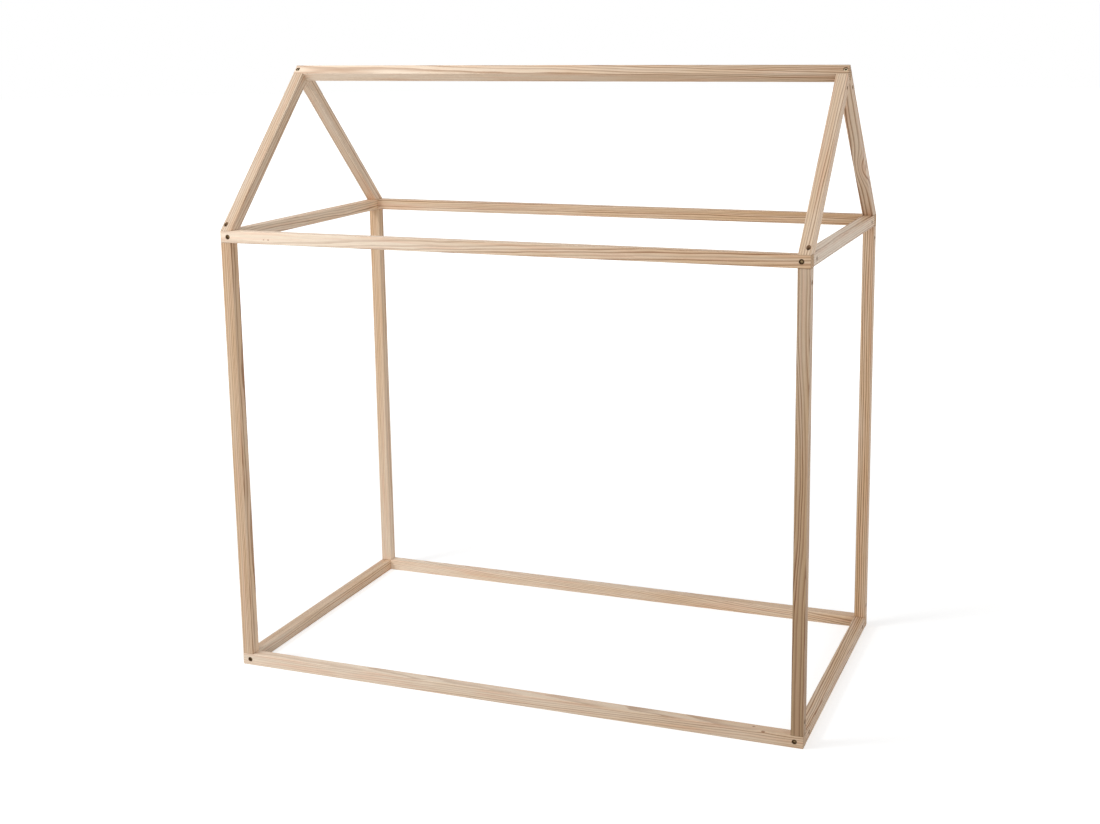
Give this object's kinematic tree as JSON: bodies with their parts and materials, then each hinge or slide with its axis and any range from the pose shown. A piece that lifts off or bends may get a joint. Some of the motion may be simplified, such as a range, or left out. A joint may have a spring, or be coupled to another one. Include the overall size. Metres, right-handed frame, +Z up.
{
  "type": "house frame bed",
  "caption": "Open house-shaped frame of square pine battens, bolted at its corners, that stands on the floor around a child's mattress.",
  "frame": {"origin": "on the floor, at the middle of the footprint", "axes": "+X along the ridge from left to right, +Y from the front to the back, +Z up"},
  "size_m": [1.5, 0.8, 1.5492],
  "materials": {
    "pine": "planed and sanded, untreated",
    "bronzed_steel": "dark bronzed, satin",
    "nut_steel": "bronzed, worn, satin",
    "beech": "turned, untreated"
  },
  "bodies": {
    "root": {"front_bottom_rail": "pine", "back_bottom_rail": "pine", "left_bottom_rail": "pine", "right_bottom_rail": "pine", "front_left_post": "pine", "front_right_post": "pine", "back_left_post": "pine", "back_right_post": "pine", "front_top_rail": "pine", "back_top_rail": "pine", "left_top_rail": "pine", "right_top_rail": "pine", "front_left_rafter": "pine", "back_left_rafter": "pine", "front_right_rafter": "pine", "back_right_rafter": "pine", "ridge_beam": "pine", "rail_bolts": "bronzed_steel", "post_foot_bolts": "bronzed_steel", "rafter_foot_bolts": "bronzed_steel", "ridge_bolts": "bronzed_steel", "rail_nuts": "nut_steel", "post_nuts": "nut_steel", "ridge_nuts": "nut_steel", "rail_dowels": "beech", "post_dowels": "beech", "rafter_foot_dowels": "beech", "ridge_dowels": "beech"}
  },
  "joints": []
}
